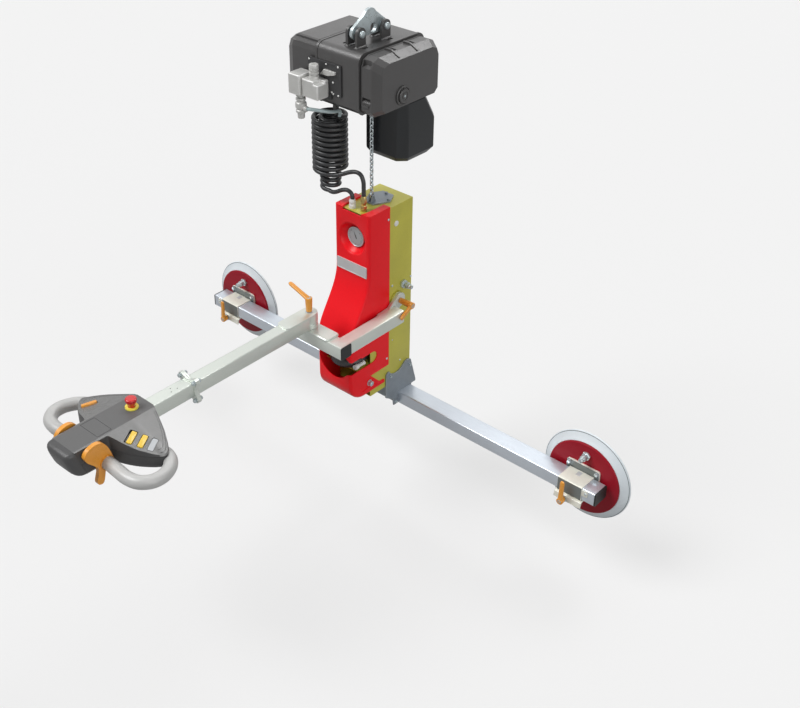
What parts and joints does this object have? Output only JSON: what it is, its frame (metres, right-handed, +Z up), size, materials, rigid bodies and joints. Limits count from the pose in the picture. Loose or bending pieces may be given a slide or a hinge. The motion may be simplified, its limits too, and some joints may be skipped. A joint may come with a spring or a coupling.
{
  "type": "vacuum panel lifter",
  "caption": "Vacuum panel lifter: chain hoist, upright body with a red front cover, pad beam with round suction pads, and a swivelling arm with an operator's handle.",
  "frame": {"origin": "centre of the suspension eye", "axes": "+Z up, +X along the pad beam to the operator's right, +Y away from the operator towards the panel"},
  "size_m": [2.236, 1.6494, 1.81],
  "materials": {
    "hoist_grey": "dark grey powder coat",
    "plated_steel": "zinc plated",
    "valve_light_grey": "blasted light grey casting",
    "container_black": "black moulding",
    "chain_zinc": "bright zinc",
    "bracket_blue_grey": "blue grey",
    "hose_black": "smooth black",
    "tube_blue_grey": "pale blue grey tube",
    "brass": "machined",
    "white_plastic": "white moulding",
    "housing_yellow_zinc": "yellow passivated sheet",
    "cover_red": "bright red, glossy",
    "beam_grey": "pale bluish grey",
    "tube_pale_grey": "pale grey",
    "plug_black": "black",
    "pad_red": "dark red",
    "pad_pale_rubber": "pale grey seal",
    "lever_orange": "orange moulding",
    "handle_grey": "fine grained grey",
    "nose_dark_grey": "dark grey",
    "grip_grey": "light grey grip",
    "button_yellow": "yellow",
    "stop_red": "red"
  },
  "bodies": {
    "hoist": {"hoist_housing": "hoist_grey", "hoist_cover_left": "hoist_grey", "hoist_cover_right": "hoist_grey", "suspension_plate": "plated_steel", "suspension_bolt_front": "plated_steel", "suspension_bolt_rear": "plated_steel", "valve_plate": "hoist_grey", "valve_block_left": "valve_light_grey", "valve_block_right": "valve_light_grey", "chain_container": "container_black", "air_feed_tube": "tube_blue_grey", "air_hose_coil": "hose_black", "cable_coil": "hose_black"},
    "lifter": {"body_housing": "housing_yellow_zinc", "front_cover": "cover_red", "gauge_case": "plated_steel", "chain": "chain_zinc", "chain_anchor": "bracket_blue_grey", "brass_gland": "brass", "white_gland": "white_plastic", "air_hose_lead": "hose_black", "cable_lead": "hose_black", "vacuum_pump": "plated_steel", "vacuum_reservoir": "hoist_grey", "valve_manifold": "plated_steel", "suction_hose_roll": "hose_black", "pad_beam": "beam_grey", "beam_plug_left": "plug_black", "beam_plug_right": "plug_black", "beam_saddle": "bracket_blue_grey"},
    "needle": {"gauge_pointer": "plug_black"},
    "bracket": {"handle_bracket": "tube_pale_grey", "bracket_plug": "plug_black"},
    "tilt_clamp_lever": {"tilt_lever": "lever_orange"},
    "arm": {"arm_inner": "tube_pale_grey", "arm_outer": "tube_pale_grey", "handle_upper_shell": "handle_grey", "handle_lower_shell": "handle_grey", "nose_cap": "nose_dark_grey", "grip_left": "grip_grey", "grip_right": "grip_grey", "estop_ring": "button_yellow"},
    "swivel_clamp_lever": {"swivel_lever": "lever_orange"},
    "stop_button": {"estop_button": "stop_red"},
    "lower_key": {"button_lower": "button_yellow"},
    "raise_key": {"button_raise": "button_yellow"},
    "release_key": {"button_release": "lever_orange"},
    "thumb_left_lever": {"thumb_lever_left": "lever_orange"},
    "thumb_right_lever": {"thumb_lever_right": "lever_orange"},
    "pad_left": {"pad_holder_left": "beam_grey", "pad_disc_left": "pad_red", "pad_seal_left": "pad_pale_rubber", "pad_fitting_left": "plated_steel"},
    "pad_right": {"pad_holder_right": "beam_grey", "pad_disc_right": "pad_red", "pad_seal_right": "pad_pale_rubber", "pad_fitting_right": "plated_steel"},
    "pad_left_clamp_lever": {"pad_lever_left": "lever_orange"},
    "pad_right_clamp_lever": {"pad_lever_right": "lever_orange"}
  },
  "joints": [
    {"name": "hoist_lift", "type": "slide", "parent": "hoist", "child": "lifter", "axis": [0, 0, 1], "range_m": [-0.11, 0.025], "deforming": ["air_hose_coil", "cable_coil"]},
    {"name": "gauge_needle", "type": "hinge", "parent": "lifter", "child": "needle", "pos_m": [0, -0.0883, -0.775], "axis": [0, 1, 0], "range_deg": [-30, 200], "stiffness_Nm_per_rad": 0.002},
    {"name": "handle_tilt", "type": "hinge", "parent": "lifter", "child": "bracket", "pos_m": [0.083, 0.05, -1.07], "axis": [1, 0, 0], "range_deg": [-25, 20]},
    {"name": "tilt_clamp", "type": "hinge", "parent": "bracket", "child": "tilt_clamp_lever", "pos_m": [0.1023, 0.05, -1.07], "axis": [1, 0, 0], "range_deg": [-60, 60]},
    {"name": "arm_swivel", "type": "hinge", "parent": "bracket", "child": "arm", "pos_m": [-0.03, -0.311, -1.072], "axis": [0, 0, 1], "range_deg": [-75, 75]},
    {"name": "swivel_clamp", "type": "hinge", "parent": "arm", "child": "swivel_clamp_lever", "pos_m": [-0.03, -0.311, -1.01], "axis": [0, 0, 1], "range_deg": [-60, 60]},
    {"name": "stop_press", "type": "slide", "parent": "arm", "child": "stop_button", "axis": [0, 0, -1], "range_m": [0, 0.004], "stiffness_N_per_m": 1200},
    {"name": "lower_press", "type": "slide", "parent": "arm", "child": "lower_key", "axis": [-0.284, 0, -0.9588], "range_m": [0, 0.003], "stiffness_N_per_m": 600},
    {"name": "raise_press", "type": "slide", "parent": "arm", "child": "raise_key", "axis": [-0.284, 0, -0.9588], "range_m": [0, 0.003], "stiffness_N_per_m": 600},
    {"name": "release_press", "type": "slide", "parent": "arm", "child": "release_key", "axis": [0.284, 0, -0.9588], "range_m": [0, 0.003], "stiffness_N_per_m": 600},
    {"name": "thumb_right", "type": "hinge", "parent": "arm", "child": "thumb_right_lever", "pos_m": [-0.03, -1.3, -1.0775], "axis": [1, 0, 0], "range_deg": [-12, 12], "stiffness_Nm_per_rad": 2},
    {"name": "thumb_left", "type": "hinge", "parent": "arm", "child": "thumb_left_lever", "pos_m": [-0.03, -1.3, -1.0775], "axis": [1, 0, 0], "range_deg": [-12, 12], "stiffness_Nm_per_rad": 2},
    {"name": "pad_left_slide", "type": "slide", "parent": "lifter", "child": "pad_left", "axis": [1, 0, 0], "range_m": [-0.03, 0.45]},
    {"name": "pad_left_clamp", "type": "hinge", "parent": "pad_left", "child": "pad_left_clamp_lever", "pos_m": [-0.944, 0.05, -1.59616], "axis": [0, -1, 0], "range_deg": [-60, 60]},
    {"name": "pad_right_slide", "type": "slide", "parent": "lifter", "child": "pad_right", "axis": [1, 0, 0], "range_m": [-0.45, 0.03]},
    {"name": "pad_right_clamp", "type": "hinge", "parent": "pad_right", "child": "pad_right_clamp_lever", "pos_m": [0.916, 0.05, -1.59616], "axis": [0, -1, 0], "range_deg": [-60, 60]}
  ],
  "couplings": [
    {"joint": "thumb_left", "follows": "thumb_right", "ratio": 1}
  ]
}
